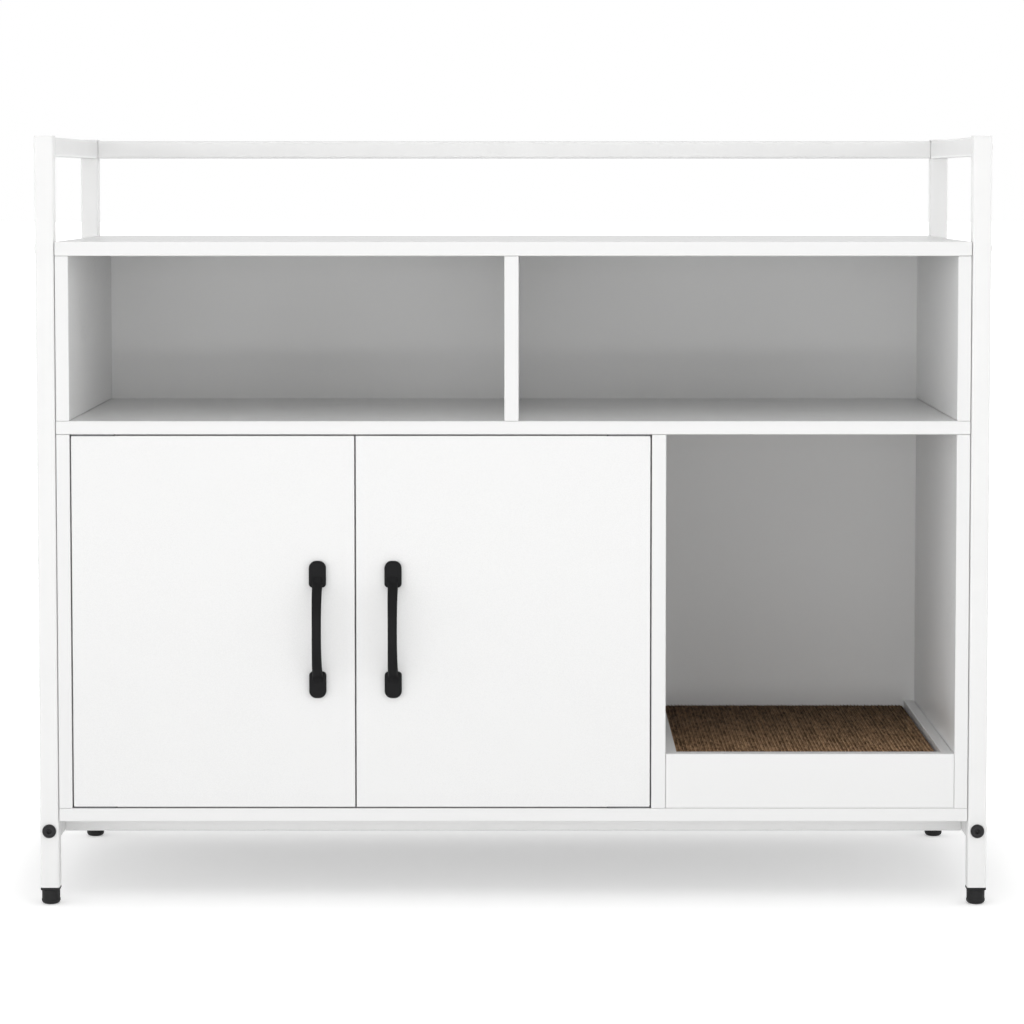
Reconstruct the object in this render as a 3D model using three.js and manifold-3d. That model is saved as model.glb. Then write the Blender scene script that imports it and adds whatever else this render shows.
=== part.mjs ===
// Cat litter box cabinet: white boards carried in a frame of square steel tube, with two inset doors,
// an open entry with a lift-out scratch pad, and levelling feet.
// Millimetres. +X is to the right of someone facing the doors, +Y runs back, +Z is up.
// Inside this file y = 0 is the front plane; the finished group is then centred over its footprint.
import * as THREE from 'three';
import { mergeVertices } from 'three/addons/utils/BufferGeometryUtils.js';
import Module from 'manifold-3d';

const wasm = await Module();
wasm.setup();

// ---------------------------------------------------------------- driving dimensions
const width = 1000;                // outside the posts
const depth = 400;
const height = 811.5;              // to the top of the posts' caps

const tubeSize = 20;               // square tube
const tubeWall = 1.2;
const tubeCorner = 2.2;            // outer corner radius of the tube
const seam = 0.3;                  // gap left between two pieces that meet
const postGap = 0.7;               // shadow gap between a post and the boards

const postBottom = 18.5;           // underside of the posts above the floor
const baseRailUnderside = 69;
const galleryHeight = 110.5;       // top board to the top of the posts
const shelfUnderside = 499;
const crossRailInset = 54;         // front plane to the front cross rail

const topThickness = 15;
const shelfThickness = 14;
const bottomThickness = 14;
const sideThickness = 14;
const dividerThickness = 15;
const boardEase = 0.6;             // eased edge of the boards

const upperDividerCentre = -1.8;   // x
const lowerDividerLeft = 145.5;    // x of the face towards the doors
const backSetback = 23;            // rear plane to the front face of the back panels
const backThickness = 3;
const grooveDepth = 5;
const grooveClearance = 0.3;
const panelShort = 1;              // back panels short of the bottom of their grooves

const doorThickness = 15;
const doorGap = 1.5;               // round the doors and between them
const doorSplit = -166;            // x of the gap between the doors

const doorwaySill = 170;           // z of the cat doorway's sill
const doorwayWidth = 190;
const doorwayCrown = 400;          // z of the top of its arch
const doorwayCorner = 20;          // radius of its two lower corners
const doorwayCentre = 195;         // y

const trayHeight = 58;             // fence and cleats above the bottom board
const trayFrontThickness = 15;
const cleatThickness = 12;
const padThickness = 53;
const padClearance = 1.5;
const padRidgePitch = 8;
const padRidgeDepth = 1.4;

const handleLength = 145;
const handleFromSplit = 39.7;
const handleCentreHeight = 293.5;
const handleProjection = 28;
const handlePadWidth = 18;
const handlePadHeight = 28;
const handlePadThickness = 5;
const handlePadEase = 1.2;
const gripEndWidth = 11.4;
const gripMidWidth = 9.8;
const gripThickness = 5.6;
const bowRise = [[0, 3.4], [6, 6], [13, 13], [22, 19.5]]; // along from the bow's foot, out from the door
const bowShoulder = 38;            // along from the foot to where the grip runs level
const handleScrewRadius = 1.9;
const handleScrewHead = 4;
const handleScrewHeadHeight = 2.4;

const capThickness = 1.5;
const capGroove = 0.4;
const plugFlange = 2.5;
const plugInsertion = 22;
const insertClearance = 0.35;      // between a plug or insert and the tube's inside
const footRadius = 10;
const footEdge = 4;                // height of the rounded lower edge
const footRim = 1.4;               // height of the rim over it
const footWaist = 0.4;             // how far the body is drawn in above the rim
const footTravel = 10;
const stemBite = 10;               // thread left in the plug when the foot is screwed right out
const stemRadius = 2.9;
const threadClearance = 0.3;       // between a fastener and its hole

const boltRadius = 2.9;
const boltHeadRadius = 7.4;
const boltHeadHeight = 3.8;
const boltSocket = 2.3;            // across-corners radius of the hexagon socket
const railInsertLength = 14;
const railBoltShort = 2;           // bolt end short of the threaded block's
const sideBoltHeadRadius = 5;
const sideBoltHeadHeight = 1.3;
const sideBoltBite = 32;           // length of the side bolts in a board or rail
const holePlugRadius = 4.6;
const holePlugHeight = 1;

const camRadius = 7.5;
const camSetback = 0.5;            // the cams' faces below the panel's
const camFromEdge = 24;
const camPinRadius = 2.5;
const camPinReach = 11;            // how far a pin is screwed into the board it stands on
const camFrontSetback = 62;        // y of the front pair; the rear pair is set the same from the back panel

const hingePivotIn = 4.5;          // pivot from the door's hinged edge
const hingePivotBack = 3;          // pivot behind the front plane
const leafLength = 45;
const leafWidth = 12;
const leafSetback = 0.6;           // leaf behind the front plane and in from the door's edge
const leafCorner = 2;
const doorLeafThickness = 1.5;
const caseLeafThickness = 0.9;
const hingePinRadius = 1.5;
const hingePinClearance = 0.35;

const catchWidth = 46;
const catchDepth = 14;
const catchHeight = 12;
const catchPoleWidth = 16;
const catchPoleInset = 2;          // poles in from the catch's top and bottom
const catchPoleProud = 1;
const strikeWidth = 20;
const strikeHeight = 12;
const strikeThickness = 1.2;
const strikeFromTop = 3;

const footSides = 16;
const fastenerSides = 10;
const pinSides = 6;
const overrun = 5;                 // how far a cut runs on past the piece it cuts

// ---------------------------------------------------------------- places worked out from them
const postCentre = width / 2 - tubeSize / 2;
const boardEnd = width / 2 - tubeSize - postGap;
const sideInner = boardEnd - sideThickness;
const baseRailTop = baseRailUnderside + tubeSize;
const baseRailCentre = baseRailUnderside + tubeSize / 2;
const bottomUnderside = baseRailTop + seam;
const bottomTop = bottomUnderside + bottomThickness;
const shelfTop = shelfUnderside + shelfThickness;
const topBoardTop = height - galleryHeight;
const topUnderside = topBoardTop - topThickness;
const topRailCentre = height - capThickness - tubeSize / 2;
const backFace = depth - backSetback;
const backRear = backFace + backThickness;
const dividerDepth = backFace - seam;
const lowerDividerRight = lowerDividerLeft + dividerThickness;
const doorBottom = bottomTop + doorGap;
const doorTop = shelfUnderside - doorGap;

// ---------------------------------------------------------------- materials
const paint = (color, roughness, metalness) =>
  new THREE.MeshStandardMaterial({ color, roughness, metalness });
const whiteSteel = paint(0xf2f2f1, 0.45, 0.1);
const whiteBoard = paint(0xf4f4f3, 0.4, 0);
const whiteBack = paint(0xececea, 0.6, 0);
const blackPlastic = paint(0x1d1d1d, 0.6, 0);
const blackSteel = paint(0x191919, 0.5, 0.3);
const whitePlastic = paint(0xeeeeec, 0.5, 0);
const plainSteel = paint(0xb4b6b8, 0.3, 0.9);
const cardboard = paint(0x7a5330, 0.9, 0);

// ---------------------------------------------------------------- solids
const group = new THREE.Group();

function add(name, geometry, material, parent = group) {
  const mesh = new THREE.Mesh(geometry, material);
  mesh.name = name;
  parent.add(mesh);
  return mesh;
}

function bare(geometry) {
  const copy = geometry.index ? geometry.toNonIndexed() : geometry.clone();
  for (const name of Object.keys(copy.attributes)) {
    if (name !== 'position') copy.deleteAttribute(name);
  }
  return copy;
}

function toSolid(geometry) {
  const merged = mergeVertices(bare(geometry), 1e-4);
  return new wasm.Manifold(new wasm.Mesh({
    numProp: 3,
    vertProperties: new Float32Array(merged.attributes.position.array),
    triVerts: new Uint32Array(merged.index.array),
  }));
}

function toGeometry(solid) {
  const mesh = solid.getMesh();
  const geometry = new THREE.BufferGeometry();
  geometry.setAttribute('position', new THREE.BufferAttribute(mesh.vertProperties, 3));
  geometry.setIndex(new THREE.BufferAttribute(mesh.triVerts, 1));
  return geometry;
}

function cut(geometry, cutters) {
  let solid = toSolid(geometry);
  for (const cutter of cutters) solid = solid.subtract(toSolid(cutter));
  return toGeometry(solid);
}

function join(...geometries) {
  let solid = toSolid(geometries[0]);
  for (const other of geometries.slice(1)) solid = solid.add(toSolid(other));
  return toGeometry(solid);
}

// A shape drawn in the two axes that follow `axis` in the order x, y, z, x, y is turned to run along it.
const unit = [new THREE.Vector3(1, 0, 0), new THREE.Vector3(0, 1, 0), new THREE.Vector3(0, 0, 1)];
const bases = {
  x: new THREE.Matrix4().makeBasis(unit[1], unit[2], unit[0]),
  y: new THREE.Matrix4().makeBasis(unit[2], unit[0], unit[1]),
  z: new THREE.Matrix4(),
};

function block(x, y, z) {
  const geometry = new THREE.BoxGeometry(x[1] - x[0], y[1] - y[0], z[1] - z[0]);
  return geometry.translate((x[0] + x[1]) / 2, (y[0] + y[1]) / 2, (z[0] + z[1]) / 2);
}

function extrude(axis, shape, from, to, bevel = 0, arcSteps = 1) {
  const geometry = new THREE.ExtrudeGeometry(shape, {
    depth: to - from - 2 * bevel,
    bevelEnabled: bevel > 0,
    bevelThickness: bevel,
    bevelSize: bevel,
    bevelOffset: -bevel,
    bevelSegments: 1,
    curveSegments: arcSteps,
  });
  return geometry.translate(0, 0, from + bevel).applyMatrix4(bases[axis]);
}

const rectangle = (u, v) => new THREE.Shape([
  new THREE.Vector2(u[0], v[0]), new THREE.Vector2(u[1], v[0]),
  new THREE.Vector2(u[1], v[1]), new THREE.Vector2(u[0], v[1]),
]);

// a board with the edges of its two large faces eased; `axis` is its thickness
function board(axis, x, y, z) {
  const spans = { x: [y, z, x], y: [z, x, y], z: [x, y, z] }[axis];
  return extrude(axis, rectangle(spans[0], spans[1]), spans[2][0], spans[2][1], boardEase);
}

function rod(axis, centre, from, to, radius, sides = fastenerSides) {
  const geometry = new THREE.CylinderGeometry(radius, radius, to - from, sides);
  geometry.rotateX(Math.PI / 2).translate(0, 0, (from + to) / 2).applyMatrix4(bases[axis]);
  const along = { x: 0, y: 1, z: 2 }[axis];
  const place = [...centre];
  place[along] = 0;
  return geometry.translate(...place);
}

// a turned piece: profile points are [radius, distance along the axis]
function turned(axis, centre, profile, sides, direction = 1) {
  const points = profile.map(([radius, along]) => new THREE.Vector2(radius, along));
  const geometry = new THREE.LatheGeometry(points, sides);
  geometry.rotateX(Math.PI / 2);
  if (direction < 0) geometry.rotateX(Math.PI);
  geometry.applyMatrix4(bases[axis]).translate(...centre);
  return outward(geometry);
}

function outward(geometry) {
  const flat = bare(geometry);
  const p = flat.attributes.position.array;
  let volume = 0;
  for (let i = 0; i < p.length; i += 9) {
    volume += p[i] * (p[i + 4] * p[i + 8] - p[i + 5] * p[i + 7])
      + p[i + 1] * (p[i + 5] * p[i + 6] - p[i + 3] * p[i + 8])
      + p[i + 2] * (p[i + 3] * p[i + 7] - p[i + 4] * p[i + 6]);
  }
  if (volume < 0) {
    for (let i = 0; i < p.length; i += 9) {
      for (let k = 0; k < 3; k++) [p[i + 3 + k], p[i + 6 + k]] = [p[i + 6 + k], p[i + 3 + k]];
    }
  }
  return flat;
}

function roundedSquare(path, size, radius) {
  const h = size / 2;
  path.moveTo(h, h - radius);
  path.absarc(h - radius, h - radius, radius, 0, Math.PI / 2);
  path.absarc(-h + radius, h - radius, radius, Math.PI / 2, Math.PI);
  path.absarc(-h + radius, -h + radius, radius, Math.PI, 1.5 * Math.PI);
  path.absarc(h - radius, -h + radius, radius, 1.5 * Math.PI, 2 * Math.PI);
  return path;
}

// hollow square tube along an axis; centre holds the other two coordinates
function squareTube(axis, centre, from, to) {
  const outline = roundedSquare(new THREE.Shape(), tubeSize, tubeCorner);
  outline.holes.push(roundedSquare(new THREE.Path(), tubeSize - 2 * tubeWall, tubeCorner - tubeWall));
  return extrude(axis, outline, from, to).translate(...centre);
}

// a closed skin through rings with the same number of points
function loft(rings) {
  const count = rings[0].length;
  const positions = [];
  const triangle = (a, b, c) => positions.push(...a.toArray(), ...b.toArray(), ...c.toArray());
  for (let i = 0; i + 1 < rings.length; i++) {
    for (let k = 0; k < count; k++) {
      const n = (k + 1) % count;
      triangle(rings[i][k], rings[i][n], rings[i + 1][n]);
      triangle(rings[i][k], rings[i + 1][n], rings[i + 1][k]);
    }
  }
  for (const [ring, flip] of [[rings[0], true], [rings[rings.length - 1], false]]) {
    const middle = ring.reduce((sum, p) => sum.add(p), new THREE.Vector3()).divideScalar(count);
    for (let k = 0; k < count; k++) {
      const [a, b] = flip ? [ring[(k + 1) % count], ring[k]] : [ring[k], ring[(k + 1) % count]];
      triangle(middle, a, b);
    }
  }
  const geometry = new THREE.BufferGeometry();
  geometry.setAttribute('position', new THREE.Float32BufferAttribute(positions, 3));
  return outward(geometry);
}

const sides = [['left', -1], ['right', 1]];
const postRows = [['front', tubeSize / 2], ['rear', depth - tubeSize / 2]];
const span = (a, b) => (a < b ? [a, b] : [b, a]);

// ---------------------------------------------------------------- frame of square tube
const sideHoleHeights = { base: baseRailCentre, board: topBoardTop - topThickness / 2, top: topRailCentre };

function postHoles(x, y, side) {
  const face = side * width / 2;
  const through = span(face + side, x - side * tubeSize);
  const holes = [
    rod('y', [x, 0, baseRailCentre], y - tubeSize, y + tubeSize, boltRadius + threadClearance),
    rod('x', [0, y, sideHoleHeights.board], ...through, boltRadius + threadClearance),
  ];
  if (y > depth / 2) {
    holes.push(rod('x', [0, y, sideHoleHeights.top], ...through, boltRadius + threadClearance));
  }
  return holes;
}

// The plugs that close a post's spare side holes are pressed in for good, so they are part of the post.
function holePlugs(y, side) {
  const profile = [
    [0, -tubeWall / 2], [holePlugRadius, -tubeWall / 2], [holePlugRadius, holePlugHeight * 0.3],
    [holePlugRadius * 0.7, holePlugHeight], [0, holePlugHeight],
  ];
  const heights = y > depth / 2 ? [sideHoleHeights.base] : [sideHoleHeights.base, sideHoleHeights.top];
  return heights.map((z) => turned('x', [side * width / 2, y, z], profile, fastenerSides, side));
}

function post(x, y, side) {
  const tube = squareTube('z', [x, y, 0], postBottom, height - capThickness - capGroove);
  return cut(join(tube, postCap(x, y), ...holePlugs(y, side)), postHoles(x, y, side));
}

// A base rail or the rear top rail, with the threaded block welded into each end.
function boltedRail(axis, centre, from, to) {
  const tube = squareTube(axis, centre, from, to);
  const half = tubeSize / 2 - tubeWall / 2;
  const along = { x: 0, y: 1, z: 2 }[axis];
  const ends = [[from + seam, from + railInsertLength], [to - railInsertLength, to - seam]].map((run) => {
    const spans = centre.map((middle) => [middle - half, middle + half]);
    spans[along] = run;
    return block(...spans);
  });
  const bore = rod(axis, centre, from - overrun, to + overrun, boltRadius + threadClearance);
  return cut(join(tube, ...ends), [bore]);
}

function frame() {
  for (const [side, sign] of sides) {
    const x = sign * postCentre;
    for (const [end, y] of postRows) {
      add(`${end}_post_${side}`, post(x, y, sign), whiteSteel);
      add(`foot_plug_${end}_${side}`, footPlug(x, y), blackPlastic);
    }
    const between = [tubeSize + seam, depth - tubeSize - seam];
    add(`top_side_rail_${side}`, squareTube('y', [x, 0, topRailCentre], ...between), whiteSteel);
    add(`base_side_rail_${side}`, boltedRail('y', [x, 0, baseRailCentre], ...between), whiteSteel);
  }
  const railEnd = width / 2 - tubeSize - seam;
  const fromPlane = crossRailInset + tubeSize / 2;
  for (const [end, y] of [['front', fromPlane], ['rear', depth - fromPlane]]) {
    add(`${end}_cross_rail`, squareTube('x', [0, y, baseRailCentre], -railEnd, railEnd), whiteSteel);
  }
  const rearTop = [0, depth - tubeSize / 2, topRailCentre];
  add('rear_top_rail', boltedRail('x', rearTop, -railEnd, railEnd), whiteSteel);
}

// The cap is driven into the post's top; a fine groove shows where it sits.
function postCap(x, y) {
  const top = roundedSquare(new THREE.Shape(), tubeSize, tubeCorner);
  const neck = roundedSquare(new THREE.Shape(), tubeSize - 2 * capGroove, tubeCorner);
  const plate = extrude('z', top, height - capThickness, height);
  const collar = extrude('z', neck, height - capThickness - tubeWall, height - capThickness / 2);
  return join(plate, collar).translate(x, y, 0);
}

function footPlug(x, y) {
  const h = tubeSize / 2 - tubeWall - insertClearance;
  const rim = roundedSquare(new THREE.Shape(), tubeSize, tubeCorner);
  const flangeTop = postBottom - seam;
  const flange = extrude('z', rim, flangeTop - plugFlange, flangeTop).translate(x, y, 0);
  const bodyZ = [flangeTop - plugFlange / 2, flangeTop + plugInsertion];
  const body = block([x - h, x + h], [y - h, y + h], bodyZ);
  const thread = rod('z', [x, y, 0], 0, postBottom + 2 * plugInsertion, stemRadius + threadClearance);
  return cut(join(flange, body), [thread]);
}

function feet() {
  const top = postBottom - 2 * seam - plugFlange;
  const stemEnd = top + footTravel + stemBite;
  const profile = [
    [0, 0], [footRadius * 0.64, 0], [footRadius * 0.9, footEdge * 0.4], [footRadius, footEdge],
    [footRadius, footEdge + footRim], [footRadius - footWaist, footEdge + footRim + footWaist],
    [footRadius - footWaist, top], [stemRadius, top], [stemRadius, stemEnd], [0, stemEnd],
  ];
  for (const [side, sign] of sides) {
    for (const [end, y] of postRows) {
      const foot = turned('z', [sign * postCentre, y, 0], profile, footSides);
      add(`levelling_foot_${end}_${side}`, foot, blackPlastic);
    }
  }
}

// ---------------------------------------------------------------- frame fasteners
function socketBolt(axis, centre, direction, headRadius, headHeight, shank) {
  const profile = [
    [0, -shank], [boltRadius, -shank], [boltRadius, seam], [headRadius, seam],
    [headRadius, seam + headHeight * 0.4], [headRadius * 0.72, seam + headHeight], [0, seam + headHeight],
  ];
  const bolt = turned(axis, centre, profile, fastenerSides, direction);
  const along = { x: 0, y: 1, z: 2 }[axis];
  const crown = centre[along] + direction * (seam + headHeight);
  const run = span(crown - direction * headHeight / 2, crown + direction);
  return cut(bolt, [rod(axis, centre, ...run, boltSocket, 6)]);
}

function frameFasteners() {
  const railBite = tubeSize + railInsertLength - railBoltShort;
  const sideBolt = (face, y, z, sign, bite) =>
    socketBolt('x', [face, y, z], sign, sideBoltHeadRadius, sideBoltHeadHeight, bite);
  for (const [side, sign] of sides) {
    const x = sign * postCentre;
    const face = sign * width / 2;
    for (const [end, y] of postRows) {
      const [plane, out] = end === 'front' ? [0, -1] : [depth, 1];
      const place = [x, plane, baseRailCentre];
      const frameBolt = socketBolt('y', place, out, boltHeadRadius, boltHeadHeight, railBite);
      add(`frame_bolt_${end}_${side}`, frameBolt, blackSteel);
      const boardBolt = sideBolt(face, y, sideHoleHeights.board, sign, tubeSize + sideBoltBite);
      add(`board_bolt_${end}_${side}`, boardBolt, whiteSteel);
    }
    const railBolt = sideBolt(face, postRows[1][1], sideHoleHeights.top, sign, railBite);
    add(`rail_bolt_${side}`, railBolt, whiteSteel);
  }
}

// ---------------------------------------------------------------- joints between the boards
// Each cam joint: a pin stands in one board, and a turned cam in the face of the other grips it.
// The pins and cams are carried by the upright panels and made in one with them.
const camRows = [camFrontSetback, backFace - camFrontSetback];

// z is the plane between the two boards, and up is +1 where the cam is above it
function camJoints() {
  const joints = [];
  const shallow = shelfThickness / 2 - 2 * seam;
  for (const y of camRows) {
    for (const [, sign] of sides) {
      const x = sign * (boardEnd - sideThickness / 2);
      const face = sign * boardEnd;
      const inwards = -sign;
      joints.push({ x, y, z: topUnderside, up: -1, face, inwards, reach: camPinReach });
      joints.push({ x, y, z: shelfTop, up: 1, face, inwards, reach: shallow });
      joints.push({ x, y, z: shelfUnderside, up: -1, face, inwards, reach: shallow });
      joints.push({ x, y, z: bottomTop, up: 1, face, inwards, reach: camPinReach });
    }
    const upper = { x: upperDividerCentre, y, face: upperDividerCentre - dividerThickness / 2, inwards: 1 };
    joints.push({ ...upper, z: topUnderside, up: -1, reach: camPinReach });
    joints.push({ ...upper, z: shelfTop, up: 1, reach: shallow });
    const lower = { x: lowerDividerLeft + dividerThickness / 2, y, face: lowerDividerLeft, inwards: 1 };
    joints.push({ ...lower, z: shelfUnderside, up: -1, reach: shallow });
    joints.push({ ...lower, z: bottomTop, up: 1, reach: camPinReach });
  }
  return joints;
}

const cams = camJoints();
const camPin = (j) =>
  rod('z', [j.x, j.y, 0], ...span(j.z - j.up * j.reach, j.z + j.up * camFromEdge), camPinRadius, pinSides);
const camPinHole = (j) =>
  rod('z', [j.x, j.y, 0], ...span(j.z - j.up * (j.reach + seam), j.z + j.up), camPinRadius + seam, pinSides);
const camRecess = (j) => {
  const run = span(j.face - j.inwards, j.face + j.inwards * camSetback);
  return rod('x', [0, j.y, j.z + j.up * camFromEdge], ...run, camRadius);
};

const doorSpan = {
  left: [-sideInner + doorGap, doorSplit - doorGap / 2],
  right: [doorSplit + doorGap / 2, lowerDividerLeft - doorGap],
};

// ---------------------------------------------------------------- boards
const groove = (x, z) => block(x, [backFace - grooveClearance / 2, backRear + grooveClearance / 2], z);

// an upright panel between two boards, with its cams and pins
function upright(x, y, z, cuts) {
  const mine = cams.filter((j) => {
    const level = j.z + j.up * camFromEdge;
    return j.x > x[0] && j.x < x[1] && level > z[0] && level < z[1];
  });
  return cut(join(board('x', x, y, z), ...mine.map(camPin)), [...cuts, ...mine.map(camRecess)]);
}

function sideBoltHoles() {
  const holes = [];
  for (const [, sign] of sides) {
    for (const y of [tubeSize / 2, depth - tubeSize / 2]) {
      const run = span(sign * (boardEnd + overrun), sign * (width / 2 - tubeSize - sideBoltBite - seam));
      holes.push(rod('x', [0, y, topBoardTop - topThickness / 2], ...run, boltRadius + threadClearance));
    }
  }
  return holes;
}

function boards() {
  const across = [-boardEnd, boardEnd];
  const deep = [0, depth];
  const inner = [-sideInner - grooveDepth, sideInner + grooveDepth];
  const pinHolesAt = (...planes) => cams.filter((j) => planes.includes(j.z)).map(camPinHole);

  const top = board('z', across, deep, [topUnderside, topBoardTop]);
  const topGroove = groove(inner, [topUnderside - overrun, topUnderside + grooveDepth]);
  add('top_board', cut(top, [topGroove, ...sideBoltHoles(), ...pinHolesAt(topUnderside)]), whiteBoard);

  const shelf = board('z', across, deep, [shelfUnderside, shelfTop]);
  const shelfGrooves = [
    groove(inner, [shelfTop - grooveDepth, shelfTop + overrun]),
    groove(inner, [shelfUnderside - overrun, shelfUnderside + grooveDepth]),
  ];
  add('shelf_board', cut(shelf, [...shelfGrooves, ...pinHolesAt(shelfTop, shelfUnderside)]), whiteBoard);

  const bottom = board('z', across, deep, [bottomUnderside, bottomTop]);
  const bottomGroove = groove(inner, [bottomTop - grooveDepth, bottomTop + overrun]);
  add('bottom_board', cut(bottom, [bottomGroove, ...pinHolesAt(bottomTop)]), whiteBoard);

  const upperRow = [shelfTop + seam, topUnderside - seam];
  const lowerRow = [bottomTop + seam, shelfUnderside - seam];
  for (const [side, sign] of sides) {
    const x = span(sign * sideInner, sign * boardEnd);
    for (const [row, z] of [['upper', upperRow], ['lower', lowerRow]]) {
      const slotX = span(sign * (sideInner - overrun), sign * (sideInner + grooveDepth));
      const slot = groove(slotX, [z[0] - overrun, z[1] + overrun]);
      add(`${row}_side_panel_${side}`, upright(x, deep, z, [slot]), whiteBoard);
    }
  }

  const half = dividerThickness / 2;
  const dividerY = [0, dividerDepth];
  const upperX = [upperDividerCentre - half, upperDividerCentre + half];
  add('upper_divider', upright(upperX, dividerY, upperRow, []), whiteBoard);
  const lowerX = [lowerDividerLeft, lowerDividerRight];
  add('lower_divider', upright(lowerX, dividerY, lowerRow, [doorway()]), whiteBoard);
}

// arched opening that the cat passes through
function doorway() {
  const radius = doorwayWidth / 2;
  const spring = doorwayCrown - radius;
  const outline = new THREE.Shape();
  const corner = doorwaySill + doorwayCorner;
  outline.moveTo(doorwayCentre - radius, corner);
  outline.absarc(doorwayCentre - radius + doorwayCorner, corner, doorwayCorner, Math.PI, 1.5 * Math.PI);
  outline.absarc(doorwayCentre + radius - doorwayCorner, corner, doorwayCorner, 1.5 * Math.PI, 2 * Math.PI);
  outline.absarc(doorwayCentre, spring, radius, 0, Math.PI);
  return extrude('x', outline, lowerDividerLeft - overrun, lowerDividerRight + overrun, 0, 6);
}

function backPanels() {
  const inset = grooveDepth - panelShort;
  const half = sideInner + inset;
  const y = [backFace, backRear];
  const upper = [shelfTop - inset, topUnderside + inset];
  const lower = [bottomTop - inset, shelfUnderside + inset];
  add('upper_back_panel', block([-half, half], y, upper), whiteBack);
  add('lower_back_panel', block([-half, half], y, lower), whiteBack);
}

// ---------------------------------------------------------------- entry tray and scratch pad
function tray() {
  const left = lowerDividerRight + seam;
  const right = sideInner - seam;
  const z = [bottomTop + seam, bottomTop + trayHeight];
  const cleatY = [trayFrontThickness + seam, dividerDepth];
  add('tray_front', board('y', [left, right], [0, trayFrontThickness], z), whiteBoard);
  add('tray_cleat_left', board('x', [left, left + cleatThickness], cleatY, z), whiteBoard);
  add('tray_cleat_right', board('x', [right - cleatThickness, right], cleatY, z), whiteBoard);

  const padX = [left + cleatThickness + padClearance, right - cleatThickness - padClearance];
  const padY = [trayFrontThickness + padClearance, backFace - padClearance];
  const low = bottomTop + seam;
  const high = low + padThickness;
  const count = Math.round((padX[1] - padX[0]) / padRidgePitch);
  const pitch = (padX[1] - padX[0]) / count;
  const outline = new THREE.Shape();
  // drawn in z, x because it is extruded along y
  outline.moveTo(low, padX[0]);
  outline.lineTo(high, padX[0]);
  for (let i = 0; i < count; i++) {
    const x = padX[0] + i * pitch;
    outline.lineTo(high, x + pitch * 0.8);
    if (i < count - 1) {
      outline.lineTo(high - padRidgeDepth, x + pitch * 0.9);
      outline.lineTo(high, x + pitch);
    }
  }
  outline.lineTo(high, padX[1]);
  outline.lineTo(low, padX[1]);
  add('scratch_pad', extrude('y', outline, ...padY), cardboard);
}

// ---------------------------------------------------------------- flat pivot hinges
// Two leaves a hinge, at the top and the bottom of each door: one let into the door's end with the pin,
// and a thinner one on the shelf or the bottom board, in the gap.
function hingePlaces() {
  const places = [];
  for (const [side, sign] of sides) {
    const edge = side === 'left' ? doorSpan.left[0] : doorSpan.right[1];
    const hinge = { side, edge, inward: -sign };
    places.push({ ...hinge, end: 'top', up: 1, doorEnd: doorTop, caseFace: shelfUnderside });
    places.push({ ...hinge, end: 'bottom', up: -1, doorEnd: doorBottom, caseFace: bottomTop });
  }
  return places;
}

const hinges = hingePlaces();
const leafY = [leafSetback, leafSetback + leafWidth];

function leafPlate(x, z) {
  const outline = new THREE.Shape();
  outline.absarc(x[1] - leafCorner, leafY[1] - leafCorner, leafCorner, 0, Math.PI / 2);
  outline.absarc(x[0] + leafCorner, leafY[1] - leafCorner, leafCorner, Math.PI / 2, Math.PI);
  outline.absarc(x[0] + leafCorner, leafY[0] + leafCorner, leafCorner, Math.PI, 1.5 * Math.PI);
  outline.absarc(x[1] - leafCorner, leafY[0] + leafCorner, leafCorner, 1.5 * Math.PI, 2 * Math.PI);
  return extrude('z', outline, ...z);
}

function leafPocket(h) {
  const far = h.edge + h.inward * (leafSetback + leafLength + seam);
  const z = span(h.doorEnd + h.up, h.doorEnd - h.up * (doorLeafThickness + seam));
  return block(span(h.edge - h.inward, far), [leafY[0] - seam, leafY[1] + seam], z);
}

function pivotHinges() {
  for (const [side] of sides) {
    for (const h of hinges.filter((one) => one.side === side)) {
      const pivot = [h.edge + h.inward * hingePivotIn, hingePivotBack, 0];
      const near = h.edge + h.inward * leafSetback;
      const far = near + h.inward * leafLength;
      const face = h.caseFace - h.up * seam;
      const pinSpan = span(h.doorEnd - h.up * doorLeafThickness / 2, face);
      const pin = rod('z', pivot, ...pinSpan, hingePinRadius);
      const doorPlate = leafPlate(span(near, far), span(h.doorEnd, h.doorEnd - h.up * doorLeafThickness));
      add(`hinge_leaf_${h.end}_${side}`, join(doorPlate, pin), plainSteel);

      const outer = face - h.up * caseLeafThickness;
      const eye = rod('z', pivot, ...span(outer - h.up, face + h.up), hingePinRadius + hingePinClearance);
      const casePlate = leafPlate(span(near - h.inward * doorGap, far), span(face, outer));
      add(`hinge_plate_${h.end}_${side}`, cut(casePlate, [eye]), plainSteel);
    }
  }
}

// ---------------------------------------------------------------- handles
function handlePad(x, z, outerEnd) {
  const w = handlePadWidth / 2;
  const h = handlePadHeight / 2;
  const outerRadius = w * 0.85;
  const innerRadius = w * 0.45;
  const [top, bottom] = outerEnd > 0 ? [outerRadius, innerRadius] : [innerRadius, outerRadius];
  const outline = new THREE.Shape();
  // drawn in z, x
  outline.absarc(h - top, w - top, top, 0, Math.PI / 2);
  outline.absarc(-h + bottom, w - bottom, bottom, Math.PI / 2, Math.PI);
  outline.absarc(-h + bottom, -w + bottom, bottom, Math.PI, 1.5 * Math.PI);
  outline.absarc(h - top, -w + top, top, 1.5 * Math.PI, 2 * Math.PI);
  return extrude('y', outline, -seam - handlePadThickness, -seam, handlePadEase, 2).translate(x, 0, z);
}

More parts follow.
